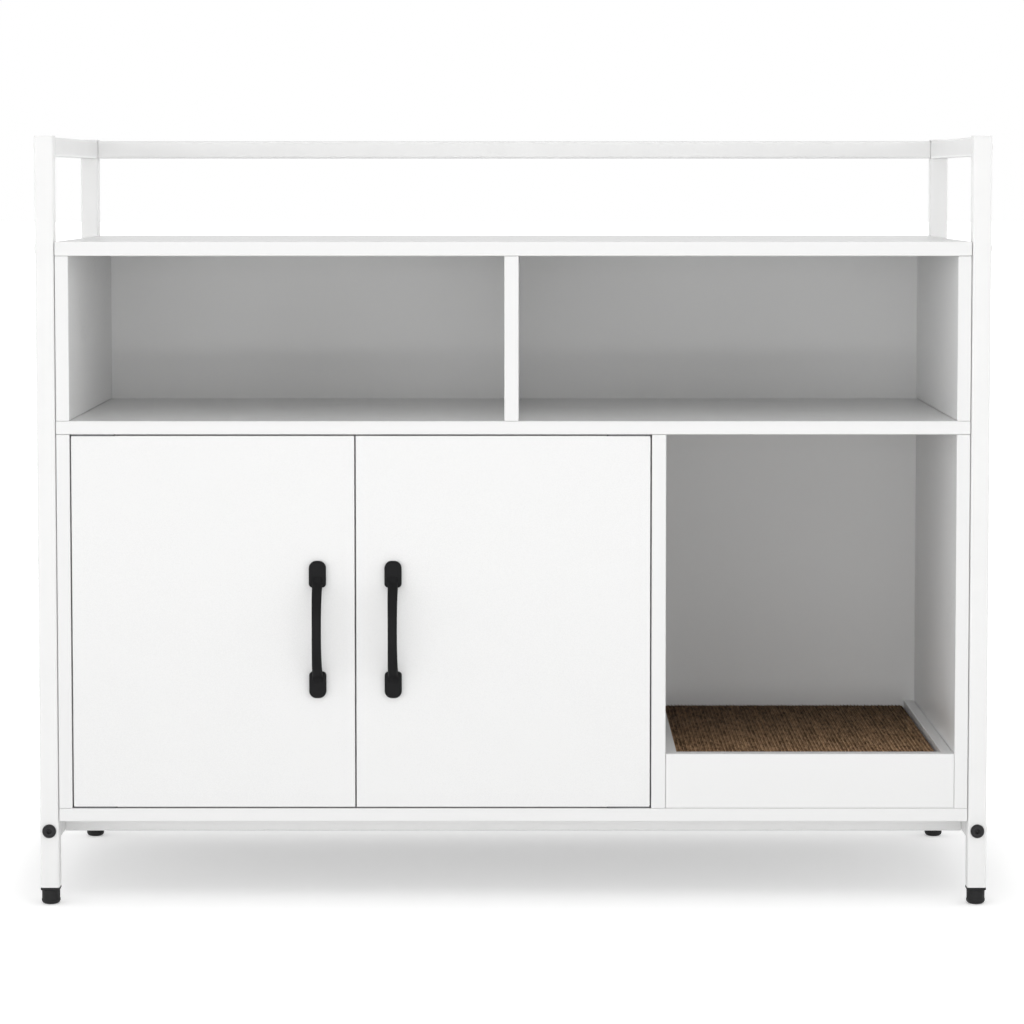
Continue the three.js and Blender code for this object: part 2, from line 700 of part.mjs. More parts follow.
function handleBow(x, z) {
  const reach = handleProjection - gripThickness / 2;
  const foot = handleLength / 2 - handlePadHeight * 0.62;
  const rise = bowRise.map(([along, out]) => [foot - along, out]);
  const half = [...rise, [foot - bowShoulder, reach - 0.8]];
  const route = [...half.map(([a, b]) => [-a, b]), [0, reach], ...half.map(([a, b]) => [a, b]).reverse()];
  const path = new THREE.CatmullRomCurve3(route.map(([a, b]) => new THREE.Vector3(0, -b, a)));
  const stations = 18;
  const points = 10;
  const rings = [];
  for (let i = 0; i <= stations; i++) {
    const t = i / stations;
    const centre = path.getPoint(t);
    const tangent = path.getTangent(t);
    const outwards = new THREE.Vector3(0, -tangent.z, tangent.y).normalize();
    const blend = Math.abs(centre.z) / foot;
    const w = (gripMidWidth + (gripEndWidth - gripMidWidth) * blend * blend) / 2;
    const ring = [];
    for (let k = 0; k < points; k++) {
      const a = (2 * Math.PI * k) / points;
      const square = (v) => Math.sign(v) * Math.pow(Math.abs(v), 0.75);
      const p = centre.clone().addScaledVector(outwards, square(Math.sin(a)) * gripThickness / 2);
      p.x += square(Math.cos(a)) * w;
      ring.push(p.add(new THREE.Vector3(x, 0, z)));
    }
    rings.push(ring);
  }
  return loft(rings);
}

// ---------------------------------------------------------------- doors
const handlePadOffset = handleLength / 2 - handlePadHeight / 2;

// The handle, with the two screws that hold it from behind the door.
function handle(x) {
  const z = handleCentreHeight;
  const upper = handlePad(x, z + handlePadOffset, 1);
  const lower = handlePad(x, z - handlePadOffset, -1);
  const head = doorThickness + seam;
  const screwEnd = -seam - handlePadThickness / 2;
  const profile = [
    [0, screwEnd], [handleScrewRadius, screwEnd], [handleScrewRadius, head],
    [handleScrewHead, head], [handleScrewHead, head + handleScrewHeadHeight / 2],
    [handleScrewHead * 0.6, head + handleScrewHeadHeight], [0, head + handleScrewHeadHeight],
  ];
  const screws = [-1, 1].map((s) => turned('y', [x, 0, z + s * handlePadOffset], profile, fastenerSides));
  return join(handleBow(x, z), upper, lower, ...screws);
}

function doors() {
  const screwHole = (x, end) => {
    const centre = [x, 0, handleCentreHeight + end * handlePadOffset];
    return rod('y', centre, -overrun, doorThickness + overrun, handleScrewRadius + threadClearance);
  };
  for (const [side, sign] of sides) {
    const x = doorSplit + sign * handleFromSplit;
    const leaf = board('y', doorSpan[side], [0, doorThickness], [doorBottom, doorTop]);
    const pockets = hinges.filter((h) => h.side === side).map(leafPocket);
    add(`door_${side}`, cut(leaf, [screwHole(x, -1), screwHole(x, 1), ...pockets]), whiteBoard);
    add(`handle_${side}`, handle(x), blackSteel);
    const strikeX = doorSplit + sign * catchWidth / 4;
    const strikeZ = doorTop - strikeFromTop - strikeHeight / 2;
    const strike = block(
      [strikeX - strikeWidth / 2, strikeX + strikeWidth / 2],
      [doorThickness + seam, doorThickness + seam + strikeThickness],
      [strikeZ - strikeHeight / 2, strikeZ + strikeHeight / 2],
    );
    add(`strike_plate_${side}`, strike, plainSteel);
  }
  const face = doorThickness + seam + strikeThickness + seam;
  const high = shelfUnderside - seam;
  const catchX = [doorSplit - catchWidth / 2, doorSplit + catchWidth / 2];
  const body = block(catchX, [face + catchPoleProud, face + catchDepth], [high - catchHeight, high]);
  const poles = sides.map(([, sign]) => {
    const x = doorSplit + sign * catchWidth / 4;
    const poleX = [x - catchPoleWidth / 2, x + catchPoleWidth / 2];
    const poleZ = [high - catchHeight + catchPoleInset, high - catchPoleInset];
    return block(poleX, [face, face + 3 * catchPoleProud], poleZ);
  });
  add('magnetic_catch', join(body, ...poles), whitePlastic);
}

frame();
feet();
frameFasteners();
boards();
backPanels();
tray();
doors();
pivotHinges();

// centred over the footprint, which reaches from the handles in front to the bolt heads behind
const footprint = new THREE.Box3().setFromObject(group);
group.position.y = -(footprint.min.y + footprint.max.y) / 2;
group.updateMatrixWorld(true);

export default group;
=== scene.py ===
"""Cat litter box cabinet, dressed for rendering. Metres; +X to the right of someone facing the doors,
+Y back through the cabinet, +Z up, with the floor at z = 0."""
from math import cos, pi, radians, sin

import bmesh
import bpy
from mathutils import Matrix, Vector


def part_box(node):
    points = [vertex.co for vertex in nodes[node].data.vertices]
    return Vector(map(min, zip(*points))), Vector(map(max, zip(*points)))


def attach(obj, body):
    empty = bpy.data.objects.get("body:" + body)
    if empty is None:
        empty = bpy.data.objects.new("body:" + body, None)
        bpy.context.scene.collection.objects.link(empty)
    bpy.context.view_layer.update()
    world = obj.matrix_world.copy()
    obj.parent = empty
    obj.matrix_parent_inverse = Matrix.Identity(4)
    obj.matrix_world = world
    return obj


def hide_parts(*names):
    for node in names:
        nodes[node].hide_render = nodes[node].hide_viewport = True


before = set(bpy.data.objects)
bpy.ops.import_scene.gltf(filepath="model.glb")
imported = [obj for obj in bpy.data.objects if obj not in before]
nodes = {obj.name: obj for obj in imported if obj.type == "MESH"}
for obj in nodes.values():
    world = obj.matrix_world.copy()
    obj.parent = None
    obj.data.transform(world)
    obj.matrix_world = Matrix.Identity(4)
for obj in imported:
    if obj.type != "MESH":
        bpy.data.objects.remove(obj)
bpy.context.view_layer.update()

MM = 0.001
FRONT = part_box("top_board")[0][1]               # y of the cabinet's front plane
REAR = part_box("top_board")[1][1]
POST_FACE = 0.5                                 # outer face of the posts, from the middle
HANDLE_LEVEL = 293.5                            # height of the handles' middle, in millimetres


# ---------------------------------------------------------------- shader and mesh helpers
class Value:
    """A shader socket that arithmetic works on."""

    def __init__(self, tree, socket):
        self.tree, self.socket = tree, socket

    def _math(self, operation, *others):
        node = self.tree.nodes.new("ShaderNodeMath")
        node.operation = operation
        for place, item in enumerate((self, *others)):
            if isinstance(item, Value):
                self.tree.links.new(item.socket, node.inputs[place])
            else:
                node.inputs[place].default_value = item
        return Value(self.tree, node.outputs[0])

    def _turned(self, operation, first):
        node = self.tree.nodes.new("ShaderNodeMath")
        node.operation = operation
        node.inputs[0].default_value = first
        self.tree.links.new(self.socket, node.inputs[1])
        return Value(self.tree, node.outputs[0])

    def __add__(self, other): return self._math("ADD", other)
    def __radd__(self, other): return self._math("ADD", other)
    def __sub__(self, other): return self._math("SUBTRACT", other)
    def __rsub__(self, other): return self._turned("SUBTRACT", other)
    def __mul__(self, other): return self._math("MULTIPLY", other)
    def __rmul__(self, other): return self._math("MULTIPLY", other)
    def __pow__(self, other): return self._math("POWER", other)
    def most(self, other): return self._math("MAXIMUM", other)
    def size(self): return self._math("ABSOLUTE")
    def part(self): return self._math("FRACT")

    def between(self, low, high):
        """0 at low, 1 at high, held to 0..1."""
        node = self.tree.nodes.new("ShaderNodeMapRange")
        node.clamp = True
        for name, item in (("Value", self), ("From Min", low), ("From Max", high)):
            if isinstance(item, Value):
                self.tree.links.new(item.socket, node.inputs[name])
            else:
                node.inputs[name].default_value = item
        return Value(self.tree, node.outputs[0])


class Finish:
    """A material, and the few ways that nodes are added to it."""

    def __init__(self, name):
        self.material = bpy.data.materials.new(name)
        self.material.use_nodes = True
        self.tree = self.material.node_tree
        self.shader = self.tree.nodes["Principled BSDF"]
        place = self.node("ShaderNodeTexCoord")["Object"]
        self.place = place
        axes = self.node("ShaderNodeSeparateXYZ", Vector=place)
        self.x, self.y, self.z = axes["X"], axes["Y"], axes["Z"]

    def node(self, kind, **inputs):
        """A new node with its sockets set or linked; gives back its outputs by name."""
        made = self.tree.nodes.new(kind)
        for name, value in inputs.items():
            socket = made.inputs[name.replace("_", " ")]
            if isinstance(value, Value):
                self.tree.links.new(value.socket, socket)
            else:
                socket.default_value = value
        return {out.name: Value(self.tree, out) for out in made.outputs if out.enabled}

    def stretched(self, x, y, z):
        return self.node("ShaderNodeMapping", Vector=self.place, Scale=(x, y, z))["Vector"]

    def noise(self, scale, detail=2.0, roughness=0.5, vector=None):
        return self.node("ShaderNodeTexNoise", Vector=vector or self.place, Scale=scale, Detail=detail,
                         Roughness=roughness)["Fac"]

    def mix(self, amount, first, second):
        """Two colours mixed by a value."""
        made = self.tree.nodes.new("ShaderNodeMix")
        made.data_type = "RGBA"
        for place, item in ((0, amount), (6, first), (7, second)):
            if isinstance(item, Value):
                self.tree.links.new(item.socket, made.inputs[place])
            elif place:
                made.inputs[place].default_value = (*item, 1)
            else:
                made.inputs[place].default_value = item
        return Value(self.tree, made.outputs[2])

    def bump(self, height, strength, distance):
        return self.node("ShaderNodeBump", Height=height, Strength=strength, Distance=distance)["Normal"]

    def set(self, **sockets):
        for name, value in sockets.items():
            socket = self.shader.inputs[name.replace("_", " ")]
            if isinstance(value, Value):
                self.tree.links.new(value.socket, socket)
            elif isinstance(value, tuple):
                socket.default_value = (*value, 1)
            else:
                socket.default_value = value
        return self.material


def finish_node(name, material):
    """Gives a carried-over piece of the model its material."""
    for slot in nodes[name].material_slots:
        slot.material = material


def piece(name, mesh, material, body="cabinet", smooth=None, replaces=()):
    """A finished piece of the object, riding on its body."""
    made = bpy.data.objects.new(name, mesh)
    bpy.context.scene.collection.objects.link(made)
    if not mesh.materials:
        mesh.materials.append(material)
    if smooth is not None:
        mesh.shade_smooth()
        mesh.set_sharp_from_angle(angle=radians(smooth))
    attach(made, body)
    if replaces:
        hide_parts(*replaces)
    return made


def mesh_from(name, bm):
    mesh = bpy.data.meshes.new(name)
    bmesh.ops.remove_doubles(bm, verts=bm.verts, dist=1e-7)
    bmesh.ops.recalc_face_normals(bm, faces=bm.faces)
    bm.to_mesh(mesh)
    bm.free()
    return mesh


def turned(bm, profile, sides):
    """Adds a turned piece along Z; the profile is (radius, height) in millimetres, from axis to axis."""
    rings = []
    for radius, height in profile:
        if radius == 0:
            rings.append([bm.verts.new((0, 0, height * MM))])
        else:
            turns = [2 * pi * k / sides for k in range(sides)]
            ring = [(radius * MM * cos(a), radius * MM * sin(a), height * MM) for a in turns]
            rings.append([bm.verts.new(corner) for corner in ring])
    for low, high in zip(rings, rings[1:]):
        for k in range(sides):
            n = (k + 1) % sides
            corners = [low[k % len(low)], low[n % len(low)], high[n % len(high)], high[k % len(high)]]
            bm.faces.new(list(dict.fromkeys(corners)))


def eased(points, radius, steps=3):
    """A profile with its corners rounded; points are (radius, height)."""
    out = [points[0]]
    for before, corner, after in zip(points, points[1:], points[2:]):
        a, b, c = Vector(before), Vector(corner), Vector(after)
        r = min(radius, (a - b).length * 0.45, (c - b).length * 0.45)
        start, end = b + (a - b).normalized() * r, b + (c - b).normalized() * r
        for k in range(steps + 1):
            t = k / steps
            out.append(tuple(start * (1 - t) ** 2 + b * 2 * t * (1 - t) + end * t ** 2))
    return out + [points[-1]]


# ---------------------------------------------------------------- camera, floor and light
def photo_camera():
    """Fitted to the posts, boards and rails of the photograph."""
    side, focal, centre = 1024, 3450.88, (524.39, 401.99)       # the frame's side and the rest in its pixels
    aside, distance, height, downward = 0.01173, 3.60804, 0.76458, 3.67
    sensor = 36
    data = bpy.data.cameras.new("photo_camera")
    data.sensor_width = sensor
    data.lens = focal * sensor / side
    data.shift_x = (side / 2 - centre[0]) / side
    data.shift_y = (centre[1] - side / 2) / side
    data.clip_end = 100
    camera = bpy.data.objects.new("photo_camera", data)
    camera.location = (aside, FRONT - distance, height)
    camera.rotation_euler = (radians(90 - downward), 0, 0)
    bpy.context.scene.collection.objects.link(camera)
    bpy.context.scene.camera = camera


def studio():
    """A sky that looks white and lights in parts, three lamps, and a floor that keeps the shadow."""
    bpy.context.scene.view_settings.view_transform = "Standard"
    world = bpy.data.worlds.new("studio")
    bpy.context.scene.world = world
    world.use_nodes = True
    tree = world.node_tree
    tree.nodes.clear()
    path = tree.nodes.new("ShaderNodeLightPath")
    seen = Value(tree, path.outputs["Is Camera Ray"])
    seen = seen.most(Value(tree, path.outputs["Is Glossy Ray"]))
    seen = seen.most(Value(tree, path.outputs["Is Transmission Ray"]))
    ray = tree.nodes.new("ShaderNodeTexCoord")
    axes = tree.nodes.new("ShaderNodeSeparateXYZ")
    tree.links.new(ray.outputs["Generated"], axes.inputs[0])
    across, level = Value(tree, axes.outputs[0]), Value(tree, axes.outputs[2])
    front = Value(tree, axes.outputs[1]).between(0.8, 0.0)
    left, right, ahead, overhead, all_round = 6.7, 5.9, 0.67, 0.69, 0.14       # strengths of the sky's parts
    beside = (across * -1).between(0.4, 0.7) * left + across.between(0.4, 0.7) * right
    lit = front * level.size().between(0.25, 0.02) * beside
    lit = lit + front * level.between(0.15, 0.3) * level.between(0.7, 0.5) * ahead
    lit = lit + level.between(0.5, 0.9) * overhead + all_round
    strength = lit * (1 - seen) + seen
    back = tree.nodes.new("ShaderNodeBackground")
    tree.links.new(strength.socket, back.inputs["Strength"])
    back.inputs["Color"].default_value = (1, 1, 1, 1)
    out = tree.nodes.new("ShaderNodeOutputWorld")
    tree.links.new(back.outputs[0], out.inputs[0])

    lamps = {       # place, target, width and height, power
        "front_softbox": ((-0.5, -4.2, 0.6), (0, 0, 0.4), (3.2, 0.9), 15.0),
        "low_strip": ((0, -3.0, 0.10), (0, 0, 0.30), (5.0, 0.16), 9.5),
        "high_softbox": ((0, -1.8, 2.2), (0, 0, 0.6), (2.5, 1.0), 8.6),
    }
    for name, (at, target, (width, height), power) in lamps.items():
        data = bpy.data.lights.new(name, "AREA")
        data.shape, data.size, data.size_y, data.energy = "RECTANGLE", width, height, power
        lamp = bpy.data.objects.new(name, data)
        lamp.location = at
        lamp.rotation_euler = (Vector(target) - Vector(at)).to_track_quat("-Z", "Y").to_euler()
        bpy.context.scene.collection.objects.link(lamp)

    look = Finish("studio_floor")
    path = look.node("ShaderNodeLightPath")
    seen = path["Is Camera Ray"].most(path["Is Glossy Ray"])
    half_width, half_depth = 0.5, 0.2
    beside, before = (look.x.size() - half_width).most(0.0), (look.y.size() - half_depth).most(0.0)
    away = (beside ** 2 + before ** 2) ** 0.5       # distance from the cabinet's footprint
    glow = look.mix(seen * (away.between(0.03, 0.42) * 0.65 + 0.35), (0, 0, 0), (1, 1, 1))
    look.set(Base_Color=(0.92, 0.92, 0.92), Roughness=1.0, Specular_IOR_Level=0.0, Emission_Color=glow,
             Emission_Strength=1.0)
    bm = bmesh.new()
    corners = [(-30, -12), (30, -12), (30, 60), (-30, 60)]
    bm.faces.new([bm.verts.new((x, y, 0)) for x, y in corners])
    mesh = bpy.data.meshes.new("studio_floor")
    bm.to_mesh(mesh)
    bm.free()
    floor = bpy.data.objects.new("studio_floor", mesh)
    mesh.materials.append(look.material)
    bpy.context.scene.collection.objects.link(floor)


# ---------------------------------------------------------------- finishes
def laminate(name, tone=0.745, gloss=0.30):
    """White melamine-faced board: a fine pearl grain under a semi-gloss face."""
    look = Finish(name)
    pearl = look.noise(1400, 3, 0.55)
    cloud = look.noise(9, 2)
    shade = (cloud - 0.5) * 0.12
    low = tuple(tone * c for c in (0.985, 0.985, 0.98))
    high = tuple(tone * c for c in (1.01, 1.01, 1.008))
    colour = look.mix(shade + 0.5, low, high)
    return look.set(Base_Color=colour, Roughness=(pearl - 0.5) * 0.14 + (cloud - 0.5) * 0.05 + gloss,
                    Normal=look.bump(pearl, 0.18, 0.00006), Specular_IOR_Level=0.35)


def powder_coat(name, colour, gloss=0.38, grain=700, depth=0.35):
    """Baked powder paint with its orange peel."""
    look = Finish(name)
    peel = look.noise(grain, 2, 0.45)
    patch = look.noise(30, 2)
    low = tuple(c * 0.97 for c in colour)
    high = tuple(min(1, c * 1.02) for c in colour)
    return look.set(Base_Color=look.mix(patch, low, high), Roughness=(peel - 0.5) * 0.12 + gloss,
                    Normal=look.bump(peel, depth, 0.00012))


def moulded_plastic(name, colour, gloss=0.5):
    """Moulded plastic with a fine spark-eroded grain."""
    look = Finish(name)
    spark = look.noise(2600, 2, 0.6)
    cloud = look.noise(60, 2)
    low = tuple(c * 0.9 for c in colour)
    return look.set(Base_Color=look.mix(cloud, low, colour), Roughness=(spark - 0.5) * 0.2 + gloss,
                    Normal=look.bump(spark, 0.3, 0.00005))


def zinc(name, tones):
    """Plated steel: small crystals of zinc under faint smears."""
    look = Finish(name)
    cell = look.node("ShaderNodeTexVoronoi", Vector=look.place, Scale=420.0)["Distance"]
    smear = look.noise(160, 3)
    return look.set(Base_Color=look.mix(smear, *tones), Metallic=1.0,
                    Roughness=cell * 0.18 + 0.24, Normal=look.bump(smear, 0.08, 0.0001))


def kraft(name, light=0.5, top=None):
    """Brown card, with pulp fibres and patches of darker pulp; painted shade darkens it deep under the top, in
    spots, towards the rear, and in stripes between the sheets on cut edges.
    """
    look = Finish(name)
    fibre = look.noise(900, 4, 0.7, look.stretched(1, 0.18, 1))
    patch = look.noise(45, 3, 0.6)
    speck = look.noise(2200, 2, 0.7)
    pale = tuple(c * light for c in (0.46, 0.30, 0.18))
    deep = tuple(c * light for c in (0.27, 0.16, 0.085))
    colour = look.mix((patch * 0.5 + fibre * 0.5).between(0.3, 0.7), deep, pale)
    colour = look.mix(speck.between(0.62, 0.75) * 0.35, colour, tuple(c * light for c in (0.6, 0.45, 0.3)))
    if top:
        # Painted shade: dark spots along the sheets stand for the shade in the flute openings.
        painted_shade_spots = look.noise(300, 3, 0.7, look.stretched(1, 0.2, 1)).between(0.36, 0.62)
        # Painted shade: the top face darkens towards the rear, where less light reaches into the compartment.
        near = look.y.between(REAR, FRONT) * 0.55 + 0.45
        # Painted shade: the sheets darken below their top edge, deep in the gaps between them.
        high = look.z.between(top - 0.0024, top - 0.0006) * 0.85 + 0.15
        # The painted shade blends the card towards a near-black shade colour.
        colour = look.mix(high * (painted_shade_spots * 0.75 + 0.25) * near, tuple(c * 0.05 for c in deep), colour)
    else:
        # Painted shade: dark stripes at the sheets' pitch stand for the shade in the gaps between the sheets.
        sheets = ((look.x * 250.0).part() - 0.5).size().between(0.28, 0.42)
        colour = look.mix(sheets * 0.75, colour, tuple(c * 0.15 for c in deep))
    return look.set(Base_Color=colour, Roughness=0.9, Specular_IOR_Level=0.15,
                    Normal=look.bump(fibre + speck * 0.5, 0.6, 0.0002))


white_board = laminate("white_laminate")
door_board = laminate("white_door_laminate", 0.75, 0.28)
back_board = laminate("white_back_board", 0.83, 0.5)
white_steel = powder_coat("white_powder_coat", (0.76, 0.76, 0.756))
black_steel = powder_coat("black_satin_coat", (0.0065, 0.0065, 0.007), 0.46, 900, 0.3)
black_bolt = powder_coat("black_oxide_bolt", (0.018, 0.018, 0.019), 0.42, 1500, 0.2)
black_plastic = moulded_plastic("black_plastic", (0.014, 0.014, 0.0145), 0.55)
for look, shine in ((black_steel, 0.10), (black_bolt, 0.2), (black_plastic, 0.2)):
    look.node_tree.nodes["Principled BSDF"].inputs["Specular IOR Level"].default_value = shine
white_plastic = moulded_plastic("white_plastic", (0.82, 0.82, 0.80), 0.42)
bright_zinc = zinc("zinc_plated_steel", ((0.52, 0.53, 0.55), (0.68, 0.68, 0.68)))
dull_zinc = zinc("dull_hinge_steel", ((0.07, 0.07, 0.075), (0.11, 0.11, 0.11)))
card_face = kraft("kraft_liner", 1.75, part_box("scratch_pad")[1][2])
card_edge = kraft("cut_card_edge", 0.7)


def dress_nodes():
    """Gives each carried-over node its material."""
    for name in nodes:
        if name.startswith(("levelling_foot", "foot_plug")):
            finish_node(name, black_plastic)
        elif name.startswith("frame_bolt"):
            finish_node(name, black_bolt)
        elif name.startswith("handle"):
            finish_node(name, black_steel)
        elif name.startswith("hinge"):
            finish_node(name, dull_zinc)
        elif name.startswith("strike"):
            finish_node(name, bright_zinc)
        elif name == "magnetic_catch":
            finish_node(name, white_plastic)
        elif name == "scratch_pad":
            finish_node(name, card_face)
        elif "back_panel" in name:
            finish_node(name, back_board)
        elif "post" in name or "rail" in name or name.startswith("board_bolt"):
            finish_node(name, white_steel)
        elif name.startswith("door"):
            finish_node(name, door_board)
        else:
            finish_node(name, white_board)


# ---------------------------------------------------------------- repeated fittings
def repeat_tree():
    """Sets a copy of one fitting on each point, with its +Z turned to the point's facing."""
    tree = bpy.data.node_groups.new("fittings_on_points", "GeometryNodeTree")
    face = tree.interface
    face.new_socket("Points", in_out="INPUT", socket_type="NodeSocketGeometry")
    face.new_socket("Fitting", in_out="INPUT", socket_type="NodeSocketObject")
    face.new_socket("Finish", in_out="INPUT", socket_type="NodeSocketMaterial")
    face.new_socket("Fittings", in_out="OUTPUT", socket_type="NodeSocketGeometry")
    new, link = tree.nodes.new, tree.links.new
    start, end = new("NodeGroupInput"), new("NodeGroupOutput")
    copies = new("GeometryNodeInstanceOnPoints")
    shape = new("GeometryNodeObjectInfo")
    facing = new("GeometryNodeInputNamedAttribute")
    facing.data_type = "FLOAT_VECTOR"
    facing.inputs["Name"].default_value = "facing"
    turn = new("FunctionNodeAlignRotationToVector")
    turn.axis = "Z"
    turn.inputs["Factor"].default_value = 1
    real, paint = new("GeometryNodeRealizeInstances"), new("GeometryNodeSetMaterial")
    link(start.outputs["Points"], copies.inputs["Points"])
    link(start.outputs["Fitting"], shape.inputs["Object"])
    link(shape.outputs["Geometry"], copies.inputs["Instance"])
    link(facing.outputs["Attribute"], turn.inputs["Vector"])
    link(turn.outputs["Rotation"], copies.inputs["Rotation"])
    link(copies.outputs["Instances"], real.inputs["Geometry"])
    link(real.outputs["Geometry"], paint.inputs["Geometry"])
    link(start.outputs["Finish"], paint.inputs["Material"])
    link(paint.outputs["Geometry"], end.inputs[0])
    return tree


def run_tree(holder, tree, **values):
    """Runs a node tree on an object and returns the result as a plain mesh."""
    modifier = holder.modifiers.new("made", "NODES")
    modifier.node_group = tree
    names = {item.name: item.identifier for item in tree.interface.items_tree if item.in_out == "INPUT"}
    for name, value in values.items():
        modifier[names[name]] = value
    graph = bpy.context.evaluated_depsgraph_get()
    graph.update()
    mesh = bpy.data.meshes.new_from_object(holder.evaluated_get(graph))
    holder.modifiers.remove(modifier)
    return mesh


fittings_tree = repeat_tree()


def fittings(name, shape, places, material, body="cabinet", replaces=()):
    """Copies of one small fitting; places are (point in metres, direction its head faces)."""
    pattern = bpy.data.objects.new(name + "_pattern", shape)
    points = bpy.data.meshes.new(name + "_points")
    points.from_pydata([tuple(at) for at, _ in places], [], [])
    facing = points.attributes.new("facing", "FLOAT_VECTOR", "POINT")
    for item, (_, way) in zip(facing.data, places):
        item.vector = way
    holder = bpy.data.objects.new(name + "_holder", points)
    for made in (pattern, holder):
        bpy.context.scene.collection.objects.link(made)
    mesh = run_tree(holder, fittings_tree, Fitting=pattern, Finish=material)
    for made in (pattern, holder):
        bpy.data.objects.remove(made)
    mesh.name = name
    return piece(name, mesh, material, body, 35, replaces)


def hexagon(radius):
    """Outline of a hexagon socket, anticlockwise from the +X corner."""
    return [(radius * cos(pi * k / 3), radius * sin(pi * k / 3)) for k in range(6)]


def cross(reach, half):
    """Outline of a cross recess, anticlockwise from the +X arm."""
    quarter = [(reach, -half), (reach, half), (half, half)]
    turns = (0, pi / 2, pi, 1.5 * pi)
    return [(x * cos(a) - y * sin(a), x * sin(a) + y * cos(a)) for a in turns for x, y in quarter]


def screw_head(name, profile, recess, top, floor, sides=40):
    """A turned screw with a recess sunk in its head; the recess is an outline in millimetres."""
    bm = bmesh.new()
    crown = [p for p in profile if p[0] > 0]
    turned(bm, [(0, profile[0][1])] + crown, sides)
    rim = [v for v in bm.verts if abs(v.co.z - crown[-1][1] * MM) < 1e-8 and v.co.xy.length > 0]
    mouth = [bm.verts.new((x * MM, y * MM, top * MM)) for x, y in recess]
    base = [bm.verts.new((x * MM, y * MM, floor * MM)) for x, y in recess]
    count = len(mouth)
    near = [min(range(count), key=lambda k: (mouth[k].co.xy - v.co.xy).length) for v in rim]
    for k, v in enumerate(rim):
        after = rim[(k + 1) % len(rim)]
        at, to = near[k], near[(k + 1) % len(rim)]
        bm.faces.new([v, after, mouth[at]])
        while at != to:
            step = (at + 1) % count
            bm.faces.new([after, mouth[step], mouth[at]])
            at = step
    for k in range(count):
        n = (k + 1) % count
        bm.faces.new([mouth[k], mouth[n], base[n], base[k]])
    bm.faces.new(base)
    return mesh_from(name, bm)


def middle(name):
    low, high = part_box(name)
    return [(a + b) / 2 for a, b in zip(low, high)]


def bolts():
    """The frame's bolts, domed with a ring round a hexagon socket, and the low ones in the cabinet's sides."""
    profile = eased([(0, -20), (2.9, -20), (2.9, 0.3), (7.3, 0.3), (7.3, 1.5)], 0.4)[:-1]
    profile += [(7.3, 1.5), (7.05, 2.2), (6.3, 3.0), (5.2, 3.6), (4.3, 3.85), (4.15, 3.8), (4.0, 3.55),
                (3.6, 3.5), (3.1, 3.5)]
    shape = screw_head("frame_bolt", profile, hexagon(2.3), 3.45, 1.0)
    ends = {"front": (FRONT, -1), "rear": (REAR, 1)}
    places, names = [], []
    for end, (plane, way) in ends.items():
        for side in ("left", "right"):
            names.append(f"frame_bolt_{end}_{side}")
            at = middle(names[-1])
            places.append(((at[0], plane, at[2]), (0, way, 0)))
    fittings("frame_bolt_heads", shape, places, black_bolt, replaces=names)

    profile = [(0, -20), (2.9, -20), (2.9, 0.3), (4.75, 0.3), (4.95, 0.45), (4.95, 0.75), (4.6, 1.2),
               (3.9, 1.48), (3.0, 1.57), (2.6, 1.6)]
    shape = screw_head("side_bolt", profile, hexagon(2.1), 1.55, 0.4, 32)
    places, names = [], []
    for name in nodes:
        if name.startswith(("board_bolt", "rail_bolt")):
            at = middle(name)
            way = 1 if at[0] > 0 else -1
            names.append(name)
            places.append(((way * POST_FACE, at[1], at[2]), (way, 0, 0)))
    fittings("side_bolt_heads", shape, places, white_steel, replaces=names)


def hole_plugs():
    """Low plastic plugs over the spare holes in the posts."""
    bm = bmesh.new()
    profile = [(0, -0.4), (4.9, -0.4), (4.9, 0.25), (4.7, 0.6), (4.1, 0.95), (3.0, 1.2), (1.6, 1.32), (0, 1.36)]
    turned(bm, profile, 36)
    shape = mesh_from("hole_plug", bm)
    low, high, half_tube = 0.079, 0.8, 0.010
    places = []
    for way in (-1, 1):
        for y in (FRONT + half_tube, REAR - half_tube):
            places.append(((way * POST_FACE, y, low), (way, 0, 0)))
        places.append(((way * POST_FACE, FRONT + half_tube, high), (way, 0, 0)))
    fittings("post_hole_plugs", shape, places, white_plastic)


def feet():
    """Round screw feet with a rounded lower edge, a rim over it and a shallow waist."""
    outline = [(0, 0), (5.6, 0), (7.4, 0.5), (8.9, 1.5), (9.75, 2.9), (10.0, 4.2), (10.0, 5.1), (9.85, 5.6),
               (9.62, 5.9), (9.55, 6.4), (9.6, 15.1), (9.4, 15.35), (2.9, 15.35), (2.9, 35), (0, 35)]
    for end in ("front", "rear"):
        for side in ("left", "right"):
            name = f"levelling_foot_{end}_{side}"
            at = middle(name)
            bm = bmesh.new()
            turned(bm, outline, 48)
            bmesh.ops.translate(bm, verts=bm.verts, vec=(at[0], at[1], 0))
            foot = mesh_from(name, bm)
            piece(f"screw_foot_{end}_{side}", foot, black_plastic, name, 30, (name,))


